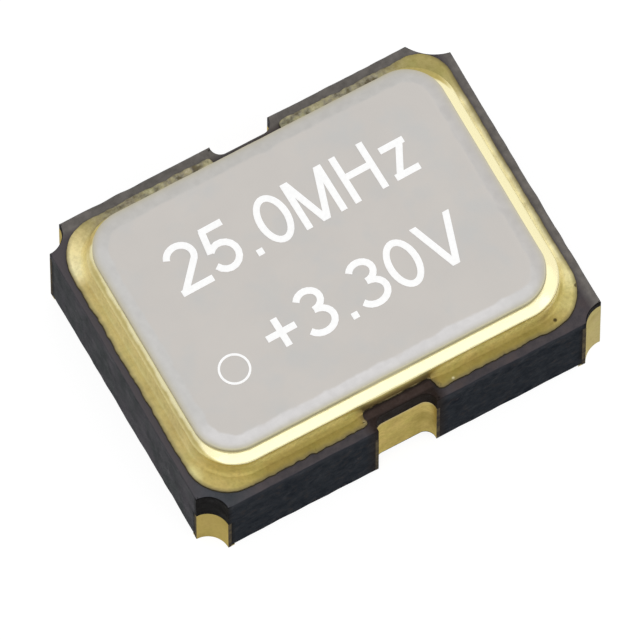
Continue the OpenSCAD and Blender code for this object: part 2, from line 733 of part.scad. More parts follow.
// The upper electrode is carried round the end of the plate to its underside
module electrode_top() {
    color("silver") {
        translate([0, 0, crystal_z + crystal_t])
            linear_extrude(electrode_t) electrode_outline(1, electrode_t);
        block([-crystal_l / 2 - electrode_t, bump_in_y, crystal_z - electrode_t],
            [-crystal_l / 2, crystal_w / 2, crystal_z + crystal_t + electrode_t]);
        translate([0, 0, crystal_z - electrode_t])
            linear_extrude(electrode_t) electrode_foot(1, electrode_t);
    }
}

ceramic_base();
seal_band();
braze_fillet();
seal_ring();
lid();
lid_marking();
for (i = [0:3]) {
    terminal(i);
    lead(i);
    bond_wire(chip_pads[i], wire_ends[i]);
}
for (i = [0:1]) {
    side = side_sign[i];
    side_contact(side);
    crystal_lead(side);
    bond_wire(chip_pads[4 + i], wire_ends[4 + i]);
    adhesive(side);
}
die_pad();
die_attach();
oscillator_chip();
quartz_plate();
electrode_top();
electrode_bottom();
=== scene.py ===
import math
from collections import namedtuple

import bmesh
import bpy
from mathutils import Matrix, Vector, noise


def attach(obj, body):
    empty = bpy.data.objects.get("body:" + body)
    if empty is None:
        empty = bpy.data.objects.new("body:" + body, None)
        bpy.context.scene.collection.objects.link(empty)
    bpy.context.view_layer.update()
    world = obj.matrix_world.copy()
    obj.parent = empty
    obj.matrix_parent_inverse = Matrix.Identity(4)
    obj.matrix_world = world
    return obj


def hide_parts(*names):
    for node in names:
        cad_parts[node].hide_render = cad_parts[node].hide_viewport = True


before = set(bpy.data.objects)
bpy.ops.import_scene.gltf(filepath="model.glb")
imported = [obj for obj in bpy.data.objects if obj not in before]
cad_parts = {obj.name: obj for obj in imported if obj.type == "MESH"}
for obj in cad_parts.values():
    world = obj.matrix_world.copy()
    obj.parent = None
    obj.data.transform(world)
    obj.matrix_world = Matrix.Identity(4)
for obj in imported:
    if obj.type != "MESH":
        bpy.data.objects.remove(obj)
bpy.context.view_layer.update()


# Ceramic base
# One block of dark alumina, fired from three punched sheets: a floor, a layer with the chip
# pocket, and the wall round the crystal. Blocks are snapped out of a larger fired sheet, so
# its edges are a little broken, and the holes on the snapping lines leave the notches.

MM = 0.001                # shapes are worked out in millimetres, as on the package drawing
HALF_L, HALF_W = 1.6, 1.225
BASE_BOTTOM, POCKET_FLOOR, LEDGE, BASE_TOP = 0.02, 0.28, 0.58, 0.76
BASE_EDGE = 0.015         # rounding of the broken edges
EDGE_CHIPS = 0.8          # share by which that rounding comes and goes
SNAP_ROUGH = 0.0035       # unevenness of the snapped walls
CAVITY = (1.2, 0.825, 0.12)        # half length, half width, corner radius
POCKET = (0.75, 0.65, 0.12)
METAL_T = 0.025           # plated metal let into the notch walls
METAL_STEP = 0.0001       # the wall steps back to that metal over twice this height
NOTCH_SHADE_TOP = BASE_TOP - 0.004        # the notches are painted dark as shade up to here
RING = (1.45, 1.05, 0.34)          # the seal ring on its top: half length, half width, corner radius

# Each corner's notch: signs of X and Y, hole radius, how far its middle lies beyond the short
# and the long side, and the top of the metal in it
Corner = namedtuple("Corner", "sx sy radius out_x out_y metal_top")
CORNERS = {
    "enable": Corner(-1, -1, 0.165, 0.0, 0.0, 0.44),
    "ground": Corner(1, -1, 0.18, -0.012, 0.085, 0.68),
    "output": Corner(1, 1, 0.38, 0.076, 0.182, 0.44),
    "supply": Corner(-1, 1, 0.165, 0.0, 0.0, 0.68),
}
SIDE_L, SIDE_D, SIDE_R = 0.465, 0.095, 0.08        # side notch: length, depth, corner radius
SIDE_METAL = (0.04, 0.595)         # foot and top of the metal in it


def arc(x, y, r, start, end, steps):
    """Points on a circle between two directions"""
    angles = [start + (end - start) * k / steps for k in range(steps + 1)]
    return [Vector((x + r * math.cos(a), y + r * math.sin(a))) for a in angles]


def taken_to(corner, pts):
    """Anticlockwise points for the corner at high X and Y, mirrored to another, still that way"""
    pts = [Vector((corner.sx * p.x, corner.sy * p.y)) for p in pts]
    return pts if corner.sx * corner.sy > 0 else pts[::-1]


def corner_arc(name, grow):
    """Wall of a corner notch, in the order met going anticlockwise round the package"""
    c = CORNERS[name]
    r = c.radius + grow
    on_short = -math.pi / 2 - math.asin(c.out_x / r)
    on_long = -math.pi + math.asin(c.out_y / r)
    return taken_to(c, arc(HALF_L + c.out_x, HALF_W + c.out_y, r, on_short, on_long, 24))


def side_arc(side, grow):
    """Wall of a side notch, also anticlockwise, for the front (-1) or the back (1)"""
    r, steps = SIDE_R + grow, 10
    cx, cy = SIDE_L / 2 - SIDE_R, -HALF_W + SIDE_D - SIDE_R
    half_in = (cy - HALF_W) / 2
    pts = [Vector((-cx - r, -HALF_W)), Vector((-cx - r, half_in))]
    pts += arc(-cx, cy, r, math.pi, math.pi / 2, steps)
    pts += [Vector((-cx + 2 * cx * k / steps, cy + r)) for k in range(1, steps)]
    pts += arc(cx, cy, r, math.pi / 2, 0, steps)
    pts += [Vector((cx + r, half_in)), Vector((cx + r, -HALF_W))]
    return pts if side < 0 else [-p for p in pts]


def outward(pts):
    """Directions that point out of a closed anticlockwise outline"""
    out = []
    for i, p in enumerate(pts):
        t = pts[(i + 1) % len(pts)] - pts[i - 1]
        out.append(Vector((t.y, -t.x)).normalized())
    return out


def base_outline(z):
    """Outline of the block at a height, set back where metal covers a notch"""
    arcs = {}
    for name, corner in CORNERS.items():
        arcs[name] = corner_arc(name, METAL_T if z < corner.metal_top else 0)
    side = METAL_T if SIDE_METAL[0] < z < SIDE_METAL[1] else 0
    parts = [arcs["enable"], side_arc(-1, side), arcs["ground"], arcs["output"],
             side_arc(1, side), arcs["supply"]]
    pts = []
    for part, after in zip(parts, parts[1:] + parts[:1]):
        pts += part
        start, end = part[-1], after[0]
        n = Vector((end.y - start.y, start.x - end.x)).normalized()
        short_side = abs(start.x - end.x) < 0.2
        spans = 56 if short_side else 32
        for k in range(1, spans):
            t = k / spans
            p = start.lerp(end, t)
            rough = SNAP_ROUGH * min(1, 6 * t, 6 * (1 - t))
            grain = noise.fractal(Vector((p.x * 7, p.y * 7, z * 5)), 1.0, 2.0, 4)
            pts.append(p + n * rough * (grain - 0.5))
    return pts


def edge_inset(depth, radius):
    """How far a rounded edge stands back at a depth below its face"""
    if depth >= radius:
        return 0.0
    return radius - math.sqrt(radius ** 2 - (radius - depth) ** 2)


def ring_of(bm, pts, z):
    return [bm.verts.new((p.x, p.y, z)) for p in pts]


def loft(bm, rings, around=True, along=False):
    """Quads between rings of vertices: around closes each ring, along joins last to first"""
    for a, b in zip(rings, rings[1:] + rings[:1] if along else rings[1:]):
        n = len(a)
        for i in range(n if around else n - 1):
            j = (i + 1) % n
            bm.faces.new((a[i], a[j], b[j], b[i]))


def rounded_path(corners, step, arc_step=0.022):
    """Points along a closed outline whose corners (x, y, radius) are turned on arcs"""
    pts, arcs, count = [], [], len(corners)
    for i, (x, y, r) in enumerate(corners):
        p = Vector((x, y))
        a = (Vector(corners[i - 1][:2]) - p).normalized()
        b = (Vector(corners[(i + 1) % count][:2]) - p).normalized()
        turn = math.pi - a.angle(b)
        way = 1 if a.y * b.x - a.x * b.y > 0 else -1
        centre = p + (a + b).normalized() * (r / math.cos(turn / 2))
        spoke = p + a * (r * math.tan(turn / 2)) - centre
        n = max(4, round(r * turn / arc_step))
        arcs.append([centre + Matrix.Rotation(way * turn * k / n, 2) @ spoke for k in range(n + 1)])
    for i, bend in enumerate(arcs):
        pts += bend
        end = arcs[(i + 1) % count][0]
        n = max(1, round((end - bend[-1]).length / step))
        pts += [bend[-1].lerp(end, k / n) for k in range(1, n)]
    return pts


def rounded_rect(half_l, half_w, r, step=0.1, cx=0.0, cy=0.0):
    return rounded_path([(cx - half_l, cy - half_w, r), (cx + half_l, cy - half_w, r),
                         (cx + half_l, cy + half_w, r), (cx - half_l, cy + half_w, r)], step)


def fill_between(bm, *rings):
    """Flat triangles between closed rings that lie in one plane"""
    edges = []
    for ring in rings:
        for i, v in enumerate(ring):
            edges.append(bm.edges.get((ring[i - 1], v)) or bm.edges.new((ring[i - 1], v)))
    made = bmesh.ops.triangle_fill(bm, use_beauty=True, edges=edges)
    for f in made["geom"]:
        if isinstance(f, bmesh.types.BMFace):
            f.smooth = False


SHARP_EDGE = math.radians(35)


def make_piece(name, bm, *materials):
    """A piece in metres from a mesh in millimetres, shaded smooth but for its sharp edges"""
    bmesh.ops.recalc_face_normals(bm, faces=bm.faces)
    bmesh.ops.scale(bm, vec=(MM, MM, MM), verts=bm.verts)
    mesh = bpy.data.meshes.new(name)
    bm.to_mesh(mesh)
    bm.free()
    mesh.set_sharp_from_angle(angle=SHARP_EDGE)
    for material in materials:
        mesh.materials.append(material)
    piece = bpy.data.objects.new(name, mesh)
    bpy.context.scene.collection.objects.link(piece)
    return piece


def smooth_all(bm):
    for f in bm.faces:
        f.smooth = True


class Finish:
    """A material being mixed, its nodes made by what they do to the surface"""

    def __init__(self, name, roughness=0.5, metallic=0.0, specular=0.5):
        self.material = bpy.data.materials.new(name)
        self.material.use_nodes = True
        self.tree = self.material.node_tree
        self.shader = self.tree.nodes["Principled BSDF"]
        self.shader.inputs["Roughness"].default_value = roughness
        self.shader.inputs["Metallic"].default_value = metallic
        self.shader.inputs["Specular IOR Level"].default_value = specular
        place = self.tree.nodes.new("ShaderNodeTexCoord")
        scale = self.tree.nodes.new("ShaderNodeVectorMath")
        scale.operation = "SCALE"
        scale.inputs["Scale"].default_value = 1 / MM
        self.link(place.outputs["Object"], scale.inputs[0])
        self.mm = scale.outputs[0]

    def link(self, out, into):
        self.tree.links.new(out, into)

    def grain(self, per_mm, detail=4.0, rough=0.55, stretch=None):
        """Noise with so many features a millimetre, optionally stretched along an axis"""
        node = self.tree.nodes.new("ShaderNodeTexNoise")
        node.inputs["Scale"].default_value = per_mm
        node.inputs["Detail"].default_value = detail
        node.inputs["Roughness"].default_value = rough
        vector = self.mm
        if stretch:
            pull = self.tree.nodes.new("ShaderNodeVectorMath")
            pull.operation = "MULTIPLY"
            pull.inputs[1].default_value = stretch
            self.link(vector, pull.inputs[0])
            vector = pull.outputs[0]
        self.link(vector, node.inputs["Vector"])
        return node.outputs["Fac"]

    def spots(self, per_mm):
        """Distance to the nearest of scattered points, so many a millimetre"""
        node = self.tree.nodes.new("ShaderNodeTexVoronoi")
        node.inputs["Scale"].default_value = per_mm
        self.link(self.mm, node.inputs["Vector"])
        return node.outputs["Distance"]

    def ramp(self, value, *stops):
        """Colours or greys at positions along a value"""
        node = self.tree.nodes.new("ShaderNodeValToRGB")
        bar = node.color_ramp
        while len(bar.elements) < len(stops):
            bar.elements.new(1.0)
        for element, (at, colour) in zip(bar.elements, stops):
            element.position = at
            element.color = (*colour, 1) if isinstance(colour, tuple) else (colour,) * 3 + (1,)
        self.link(value, node.inputs["Fac"])
        return node.outputs["Color"]

    def range(self, value, low, high, to_low=0.0, to_high=1.0):
        node = self.tree.nodes.new("ShaderNodeMapRange")
        for name, number in zip(("From Min", "From Max", "To Min", "To Max"),
                                (low, high, to_low, to_high)):
            node.inputs[name].default_value = number
        self.link(value, node.inputs["Value"])
        return node.outputs["Result"]

    def math(self, how, a, b):
        node = self.tree.nodes.new("ShaderNodeMath")
        node.operation = how
        for i, v in enumerate((a, b)):
            if isinstance(v, (int, float)):
                node.inputs[i].default_value = v
            else:
                self.link(v, node.inputs[i])
        return node.outputs[0]

    def mix(self, factor, a, b, how="MIX"):
        node = self.tree.nodes.new("ShaderNodeMix")
        node.data_type = "RGBA"
        node.blend_type = how
        if isinstance(factor, (int, float)):
            node.inputs["Factor"].default_value = factor
        else:
            self.link(factor, node.inputs["Factor"])
        for name, v in (("A", a), ("B", b)):
            socket = [s for s in node.inputs if s.name == name and s.type == "RGBA"][0]
            if isinstance(v, tuple):
                socket.default_value = (*v, 1)
            else:
                self.link(v, socket)
        return [s for s in node.outputs if s.type == "RGBA"][0]

    def attribute(self, name):
        node = self.tree.nodes.new("ShaderNodeAttribute")
        node.attribute_name = name
        return node.outputs["Fac"]

    def facing(self, axis):
        """How far the surface faces along an axis of the model"""
        geometry = self.tree.nodes.new("ShaderNodeNewGeometry")
        split = self.tree.nodes.new("ShaderNodeSeparateXYZ")
        self.link(geometry.outputs["Normal"], split.inputs[0])
        return split.outputs[axis]

    def at(self, axis):
        """Place along an axis of the model, in millimetres"""
        split = self.tree.nodes.new("ShaderNodeSeparateXYZ")
        self.link(self.mm, split.inputs[0])
        return split.outputs[axis]

    def near(self, point, reach, soft):
        """1 within a reach of a place on the model, falling softly to 0 beyond it"""
        node = self.tree.nodes.new("ShaderNodeVectorMath")
        node.operation = "DISTANCE"
        node.inputs[1].default_value = point
        self.link(self.mm, node.inputs[0])
        return self.range(node.outputs["Value"], reach + soft, reach)

    def patch(self, tone, point, reach, soft, colour):
        """A tone with another colour laid over it round a place on the model"""
        return self.mix(self.near(point, reach, soft), tone, colour)

    def now(self):
        """The colour mixed so far"""
        return self.shader.inputs["Base Color"].links[0].from_socket

    def colour(self, value):
        self.link(value, self.shader.inputs["Base Color"])

    def roughness(self, value):
        self.link(value, self.shader.inputs["Roughness"])

    def bump(self, *layers):
        """Relief from layers of (height, depth in millimetres)"""
        last = None
        for height, depth in layers:
            node = self.tree.nodes.new("ShaderNodeBump")
            node.inputs["Distance"].default_value = depth * MM
            node.inputs["Strength"].default_value = 1.0
            self.link(height, node.inputs["Height"])
            if last:
                self.link(last, node.inputs["Normal"])
            last = node.outputs["Normal"]
        self.link(last, self.shader.inputs["Normal"])


def dark_alumina():
    """Fired alumina: charcoal on top, blue-black where the block was snapped out of its sheet; the
    walls' dark colour is partly painted shade
    """
    f = Finish("fired_alumina", roughness=0.7, specular=0.04)
    x, y, z = f.at("X"), f.at("Y"), f.at("Z")
    clouds = f.grain(9, detail=6, rough=0.62)
    crystals = f.grain(70, detail=3, rough=0.7)

    # The top has brown clouds, is painted paler and greyer towards the low end as light falling there,
    # and is slate at terminal 1
    top = f.ramp(clouds, (0.32, (0.044, 0.04, 0.046)), (0.5, (0.064, 0.056, 0.061)),
                 (0.68, (0.084, 0.071, 0.076)))
    brown = f.range(f.grain(4.5, detail=5), 0.5, 0.72)
    top = f.mix(f.math("MULTIPLY", brown, 0.6), top, (0.053, 0.037, 0.033))
    top = f.mix(f.range(x, 0.4 - HALF_L, 0.1 - HALF_L), top, (0.082, 0.073, 0.08))
    slate = f.ramp(clouds, (0.34, (0.046, 0.051, 0.058)), (0.66, (0.066, 0.069, 0.079)))
    top = f.patch(top, (-1.42, -1.1, BASE_TOP), 0.08, 0.22, slate)

    # Its margins are painted pale at the high end and along the back, as sheen on them
    margin_sheen = f.ramp(f.grain(12, detail=6, rough=0.65), (0.36, (0.118, 0.109, 0.102)),
                  (0.62, (0.175, 0.161, 0.151)))
    margin = f.math("MAXIMUM", f.range(x, HALF_L - 0.1, HALF_L - 0.04),
                    f.range(y, HALF_W - 0.125, HALF_W - 0.07))
    top = f.mix(margin, top, margin_sheen)

    # The snapped walls are a little paler near the top, and painted lighter where they face the low
    # end, as light falling on them
    wall = f.ramp(f.grain(14, detail=6, rough=0.7), (0.36, (0.0046, 0.0068, 0.0107)),
                  (0.52, (0.0105, 0.0141, 0.0196)), (0.66, (0.0218, 0.02, 0.0214)))
    wall = f.mix(f.range(z, BASE_TOP - 0.1, BASE_TOP + 0.005, 0, 0.75), wall, (0.033, 0.036, 0.044))
    low_end_wall_light = f.ramp(f.grain(6, detail=5, stretch=(1, 1, 0.37)), (0.36, (0.042, 0.046, 0.048)),
                   (0.62, (0.073, 0.069, 0.077)))
    wall = f.mix(f.range(f.facing("X"), -0.55, -0.9), wall, low_end_wall_light)

    # Both are brown beside the front notch, where no metal covers the top, and the top is painted
    # darkest along the ring and along the notch, as the shade there
    ring_front, notch_front = -RING[1], SIDE_D - HALF_W
    beside = f.math("MULTIPLY", f.range(f.math("ABSOLUTE", x, 0), 0.33, 0.25),
                    f.range(y, -0.98, -1.03))
    brown_and_shade = f.mix(f.range(f.grain(9, detail=3), 0.35, 0.65), (0.036, 0.0237, 0.02),
                   (0.056, 0.038, 0.034))
    # Painted shade along the ring's foot and along the notch's edge
    edges = f.math("MAXIMUM", f.range(y, ring_front - 0.025, ring_front - 0.01),
                   f.range(y, notch_front + 0.017, notch_front + 0.005))
    brown_and_shade = f.mix(f.math("MULTIPLY", edges, 0.75), brown_and_shade, (0.014, 0.009, 0.007))
    top = f.mix(beside, top, brown_and_shade)
    wall = f.mix(beside, wall, (0.0109, 0.0073, 0.0055))

    # Painted shade blackens the bare ceramic in the corner notches, and painted glints from crystals
    # lie on the top
    upward = f.range(f.facing("Z"), 0.25, 0.8)
    # Walls take the wall colour, which is partly painted shade
    tone = f.mix(f.attribute("notch_shade"), f.mix(upward, wall, top), (0.0027, 0.0023, 0.0023))
    glints = f.math("MULTIPLY", upward, f.range(crystals, 0.35, 0.75, 0, 0.12))
    f.colour(f.mix(glints, tone, (0.109, 0.105, 0.109)))
    f.roughness(f.range(clouds, 0.3, 0.7, 0.6, 0.82))
    f.bump((crystals, 0.0016), (f.grain(22, detail=4), 0.004))
    return f


# Heights of the rings of points on the outer wall: close together on its two rounded edges and
# where metal begins or ends
levels = [BASE_BOTTOM + step for step in (0, 0.002, 0.0055, 0.011, 0.017)]
levels += [0.12, 0.2, 0.28, 0.36, 0.52, 0.64]
levels += [BASE_TOP - step for step in (0.045, 0.025, 0.015, 0.01, 0.0055, 0.002, 0)]
for z in {*SIDE_METAL, *(corner.metal_top for corner in CORNERS.values())}:
    levels += [z - METAL_STEP, z + METAL_STEP]
levels.sort()

bm = bmesh.new()
notch_shade = bm.verts.layers.float.new("notch_shade")
skin = []
for z in levels:
    pts = base_outline(z)
    depth = min(z - BASE_BOTTOM, BASE_TOP - z)
    upper = z > LEDGE
    moved = []
    for p, n in zip(pts, outward(pts)):
        chip = 1 + EDGE_CHIPS * noise.noise(Vector((p.x * 11, p.y * 11, 5 if upper else 4)))
        moved.append(p - n * edge_inset(depth, BASE_EDGE) * chip)
    skin.append(ring_of(bm, moved, z))
    for c in CORNERS.values():
        middle = Vector((c.sx * (HALF_L + c.out_x), c.sy * (HALF_W + c.out_y)))
        for v, p in zip(skin[-1], pts):
            in_notch = (p - middle).length < c.radius + METAL_T + 0.002
            # Bare notch walls below this height carry painted shade
            if in_notch and z <= NOTCH_SHADE_TOP:
                v[notch_shade] = 1.0
loft(bm, skin)
cavity = rounded_rect(*CAVITY)
pocket = rounded_rect(*POCKET)
walls = [ring_of(bm, cavity, BASE_TOP), ring_of(bm, cavity, LEDGE),
         ring_of(bm, pocket, LEDGE), ring_of(bm, pocket, POCKET_FLOOR)]
loft(bm, walls[:2])
loft(bm, walls[2:])
smooth_all(bm)
fill_between(bm, skin[-1], walls[0])
fill_between(bm, walls[1], walls[2])
fill_between(bm, walls[3])
fill_between(bm, skin[0])
base = make_piece("ceramic_block", bm, dark_alumina().material)
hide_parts("ceramic_base")
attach(base, "root")


# Terminals
# A solder pad under each corner and the metal let into its notch are one layer of printed
# tungsten, plated with nickel and a flash of gold. Terminal 1 has a cut corner.

PAD_T, PAD_L, PAD_W, PAD_R = 0.02, 0.9, 0.8, 0.04
PAD_MARGIN = 0.05         # from the package's edge to a pad, and the width of a pad's collar
INDEX_CUT = 0.14          # cut corner of terminal 1
METAL_FOOT = 0.004        # the metal in a corner notch starts this far above the board
PROUD = 0.0012            # printed metal stands this far out of the notch wall
GOLD = (0.5, 0.4, 0.13)
GOLD_OLIVE = (0.2, 0.16, 0.04)
GOLD_MIRROR = (0.93, 0.82, 0.5, 1)         # gold stays yellow where it is seen edge-on


def plated_gold(name, roughness, mottle, relief, stain=0.0, tone=None):
    """Flash gold over nickel: mottled where the print below is rough, olive where stained. A tone
    gives its colour and how even it is, from place to place"""
    f = Finish(name, roughness=roughness, metallic=1.0)
    f.shader.inputs["Specular Tint"].default_value = GOLD_MIRROR
    tint, even = tone(f) if tone else (GOLD, 0.0)
    uneven = f.math("SUBTRACT", 1.0, even)
    cloud = f.grain(7, detail=5, rough=0.6)
    shade = f.ramp(cloud, (0.3, (0.8, 0.86, 0.74)), (0.48, (0.95, 0.95, 0.92)),
                   (0.7, (1.0, 0.95, 1.0)))
    tint = f.mix(f.math("MULTIPLY", uneven, mottle), tint, shade, how="MULTIPLY")
    fine = f.range(f.grain(38, detail=4, rough=0.65), 0.4, 0.8, 0, 0.5 * mottle + 0.1)
    tint = f.mix(f.math("MULTIPLY", uneven, fine), tint, GOLD_OLIVE)
    if stain:
        patch = f.range(f.grain(3.2, detail=4), 0.48, 0.7, 0, stain)
        tint = f.mix(f.math("MULTIPLY", uneven, patch), tint, GOLD_OLIVE)
    f.colour(tint)
    f.roughness(f.range(cloud, 0.25, 0.75, roughness - 0.06, roughness + 0.1))
    f.bump((f.grain(55, detail=3), relief), (f.grain(13, detail=3), relief * 3))
    return f


def notch_tone(f):
    """Plating in the notches: darker at the low end, and a little greyer at the high end"""
    x = f.at("X")
    tone = f.mix(f.range(x, -1.2, -0.6), (0.42, 0.335, 0.125), (0.55, 0.445, 0.175))
    tone = f.mix(f.range(x, 0.9, 1.3), tone, (0.46, 0.405, 0.215))
    return tone, 0.0


pad_gold = plated_gold("pad_gold", roughness=0.5, mottle=0.45, stain=0.4, relief=0.0006,
                       tone=notch_tone)

# Where a block is snapped off, the metal tears through with the ceramic and shows dull tungsten
torn = Finish("torn_metal", roughness=0.8, specular=0.05)
torn.colour(torn.ramp(torn.grain(18, detail=4), (0.35, (0.045, 0.036, 0.03)),
                      (0.65, (0.13, 0.105, 0.06))))
torn.bump((torn.grain(40, detail=3), 0.0015))


def metal_section(bottom, top):
    """Section of the metal in a notch, as (into the wall, up), from its foot to its top edge"""
    return [(METAL_T, bottom), (0.003, bottom), (-PROUD, bottom + 0.004), (-PROUD, bottom + 0.03),
            (-PROUD, (bottom + top) / 2), (-PROUD, top - 0.03), (-PROUD, top - 0.01),
            (0.0005, top - 0.003), (0.006, top), (METAL_T, top)]


def notch_metal(bm, wall_at, bottom, top):
    """Metal on a notch wall, with the uneven upper edge that printing through a hole leaves. Its
    two torn ends take the piece's second material"""
    section = metal_section(bottom, top)
    columns = [wall_at(into) for into, _ in section]
    rings = []
    for k in range(len(columns[0])):
        ring = []
        for column, (into, z) in zip(columns, section):
            p = column[k]
            if z > top - 0.02:
                z += 0.006 * noise.noise(Vector((p.x * 17, p.y * 17, top)))
            ring.append(bm.verts.new((p.x, p.y, z)))
        rings.append(ring)
    loft(bm, rings)
    for end in (rings[0], rings[-1]):
        bm.faces.new(end).material_index = 1


def pad_outline(name):
    """Outline of a pad: a rounded oblong that reaches out to the edge of its corner notch"""
    c = CORNERS[name]
    x1, y1 = HALF_L - PAD_MARGIN, HALF_W - PAD_MARGIN
    x0, y0 = x1 - PAD_L, y1 - PAD_W
    cx, cy = HALF_L + c.out_x, HALF_W + c.out_y

    def rounded_corner(x, y, start):
        return arc(x, y, PAD_R, start, start + math.pi / 2, 3)

    collar = c.radius + PAD_MARGIN
    collar_x = arc(cx, cy, collar, -math.pi + math.acos((cx - x1) / collar),
                   -math.pi / 2 - math.asin(c.out_x / collar), 6)
    collar_y = arc(cx, cy, collar, -math.pi + math.asin(c.out_y / collar),
                   -math.pi + math.asin((cy - y1) / collar), 6)
    hole = arc(cx, cy, c.radius, -math.pi / 2 - math.asin(c.out_x / c.radius),
               -math.pi + math.asin(c.out_y / c.radius), 20)
    inner = rounded_corner(x0 + PAD_R, y0 + PAD_R, math.pi)
    if name == "enable":
        inner = [Vector((x0, y0 + INDEX_CUT)), Vector((x0 + INDEX_CUT, y0))]
    short_side = rounded_corner(x1 - PAD_R, y0 + PAD_R, -math.pi / 2)
    long_side = rounded_corner(x0 + PAD_R, y1 - PAD_R, math.pi / 2)
    return taken_to(c, inner + short_side + collar_x + hole + collar_y + long_side)


for name, corner in CORNERS.items():
    bm = bmesh.new()
    notch_metal(bm, lambda into: corner_arc(name, into), METAL_FOOT, corner.metal_top)
    smooth_all(bm)
    pts = pad_outline(name)
    rings = []
    for z, inset in ((PAD_T, 0.0), (0.007, 0.0), (0.0025, 0.002), (0.0, 0.007)):
        rings.append(ring_of(bm, [p - n * inset for p, n in zip(pts, outward(pts))], z))
    loft(bm, rings)
    fill_between(bm, rings[0])
    fill_between(bm, rings[-1])
    terminal = make_piece("terminal_metal_" + name, bm, pad_gold.material, torn.material)
    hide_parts("terminal_" + name)
    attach(terminal, "root")


# Side contacts
# Printed metal in the notch at the middle of each long side, plated with the terminals. The
# crystal is tested through them before the lid goes on, and they stay bare afterwards.

contact_gold = plated_gold("contact_gold", roughness=0.5, mottle=0.85, stain=0.6, relief=0.0009,
                           tone=notch_tone)
top_edge = contact_gold.range(contact_gold.at("Z"), SIDE_METAL[1] - 0.03, SIDE_METAL[1] - 0.005,
                              0, 0.6)
contact_gold.colour(contact_gold.mix(top_edge, contact_gold.now(), (0.5, 0.42, 0.25)))

for side, name in ((-1, "front"), (1, "back")):
    bm = bmesh.new()
    notch_metal(bm, lambda into: side_arc(side, into), *SIDE_METAL)
    smooth_all(bm)
    contact = make_piece("side_contact_metal_" + name, bm, contact_gold.material, torn.material)
    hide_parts("side_contact_" + name)
    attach(contact, "root")


# Leads
# Tungsten paste printed between the ceramic sheets before firing, from lands and bumps in the
# cavity to the notches. Only the lands, bumps and fingers are bare, and these are gold-plated.

lead_gold = plated_gold("lead_gold", roughness=0.4, mottle=0.6, relief=0.0008)


def dress(material, *names):
    """Gives solids that stay as they are their finish"""
    for name in names:
        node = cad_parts[name]
        if node.material_slots:
            for held in node.material_slots:
                held.material = material
        else:
            node.data.materials.append(material)


dress(lead_gold.material, "lead_enable", "lead_ground", "lead_output", "lead_supply",
      "crystal_lead_front", "crystal_lead_back")


# Chip
# A silicon oscillator chip, glued with silver-filled adhesive to a printed pad on the pocket
# floor. Six gold wires, each a ball, a loop and a stitch, join it to the leads.

dress(lead_gold.material, "die_pad")

paste = Finish("silver_adhesive", roughness=0.55, metallic=0.35)
flakes = paste.spots(60)
paste.colour(paste.ramp(flakes, (0.1, (0.66, 0.66, 0.65)), (0.5, (0.42, 0.42, 0.42)),
                        (0.9, (0.3, 0.3, 0.3))))
paste.bump((flakes, 0.002))
dress(paste.material, "die_attach", "adhesive_front", "adhesive_back")

CHIP_TOP = 0.46           # its bond pads stand on this face
silicon = Finish("passivated_silicon", roughness=0.18)
blocks = silicon.tree.nodes.new("ShaderNodeTexBrick")
silicon.link(silicon.mm, blocks.inputs["Vector"])
for key, number in (("Scale", 9), ("Mortar Size", 0.03), ("Brick Width", 0.7),
                    ("Row Height", 0.45)):
    blocks.inputs[key].default_value = number
blocks.inputs["Color1"].default_value = (0.09, 0.10, 0.17, 1)
blocks.inputs["Color2"].default_value = (0.15, 0.11, 0.18, 1)
blocks.inputs["Mortar"].default_value = (0.05, 0.05, 0.07, 1)
pads = silicon.range(silicon.at("Z"), CHIP_TOP + 0.0002, CHIP_TOP + 0.002)
silicon.colour(silicon.mix(pads, blocks.outputs["Color"], (0.62, 0.62, 0.6)))
silicon.bump((blocks.outputs["Fac"], 0.0004))
dress(silicon.material, "oscillator_chip")

drawn = Finish("drawn_gold_wire", roughness=0.25, metallic=1.0)
lines = drawn.grain(50, detail=2, stretch=(0.2, 0.2, 1.0))
drawn.colour(drawn.ramp(lines, (0.35, (0.72, 0.46, 0.13)), (0.65, (0.86, 0.6, 0.2))))
drawn.bump((lines, 0.0003))
dress(drawn.material, "bond_wire_enable", "bond_wire_ground", "bond_wire_output",
      "bond_wire_supply", "bond_wire_crystal_front", "bond_wire_crystal_back")


# Crystal
# A thin plate of lapped AT-cut quartz with an evaporated silver electrode on each face. It is
# glued at two corners to the bumps, and its other end is free.

quartz = Finish("lapped_quartz", roughness=0.12)
quartz.shader.inputs["Transmission Weight"].default_value = 0.92
quartz.shader.inputs["IOR"].default_value = 1.54
lapping = quartz.grain(30, detail=3)
quartz.colour(quartz.ramp(lapping, (0.3, (0.86, 0.92, 0.92)), (0.7, (0.95, 0.98, 0.98))))
quartz.bump((lapping, 0.0003))
dress(quartz.material, "quartz_plate")

silver = Finish("evaporated_silver", roughness=0.22, metallic=1.0)
film = silver.grain(18, detail=5)
silver.colour(silver.ramp(film, (0.3, (0.66, 0.66, 0.67)), (0.7, (0.82, 0.82, 0.82))))
silver.bump((silver.grain(70, detail=2), 0.0002))
dress(silver.material, "electrode_top", "electrode_bottom")


# Seal band
# Tungsten printed on the top of the ceramic before firing, then plated. The print has a ragged
# outer edge, and it is left out beside the side notches so that it can't touch their metal.

BAND = (-1.55, -1.161, 1.53, 1.149)        # low X, low Y, high X, high Y
BAND_TOP = 0.78
BAND_R, BAND_R_OUTPUT = 0.32, 0.25         # its corners, and the one at the output terminal
GAP, GAP_IN = 0.2725, RING[1]              # the part left out: half its length, and it ends at the ring
GAP_R, END_R = 0.04, 0.035                 # its inner and outer corners
RING_TOP = 0.97                            # the seal ring stands on the band up to here
ROLL_FOOT = 0.905                          # its wall turns in to its rolled edge from here
PIT = (1.246, -1.104, BAND_TOP)            # a pit near the ground corner
YELLOW_GOLD = (0.56, 0.46, 0.155)


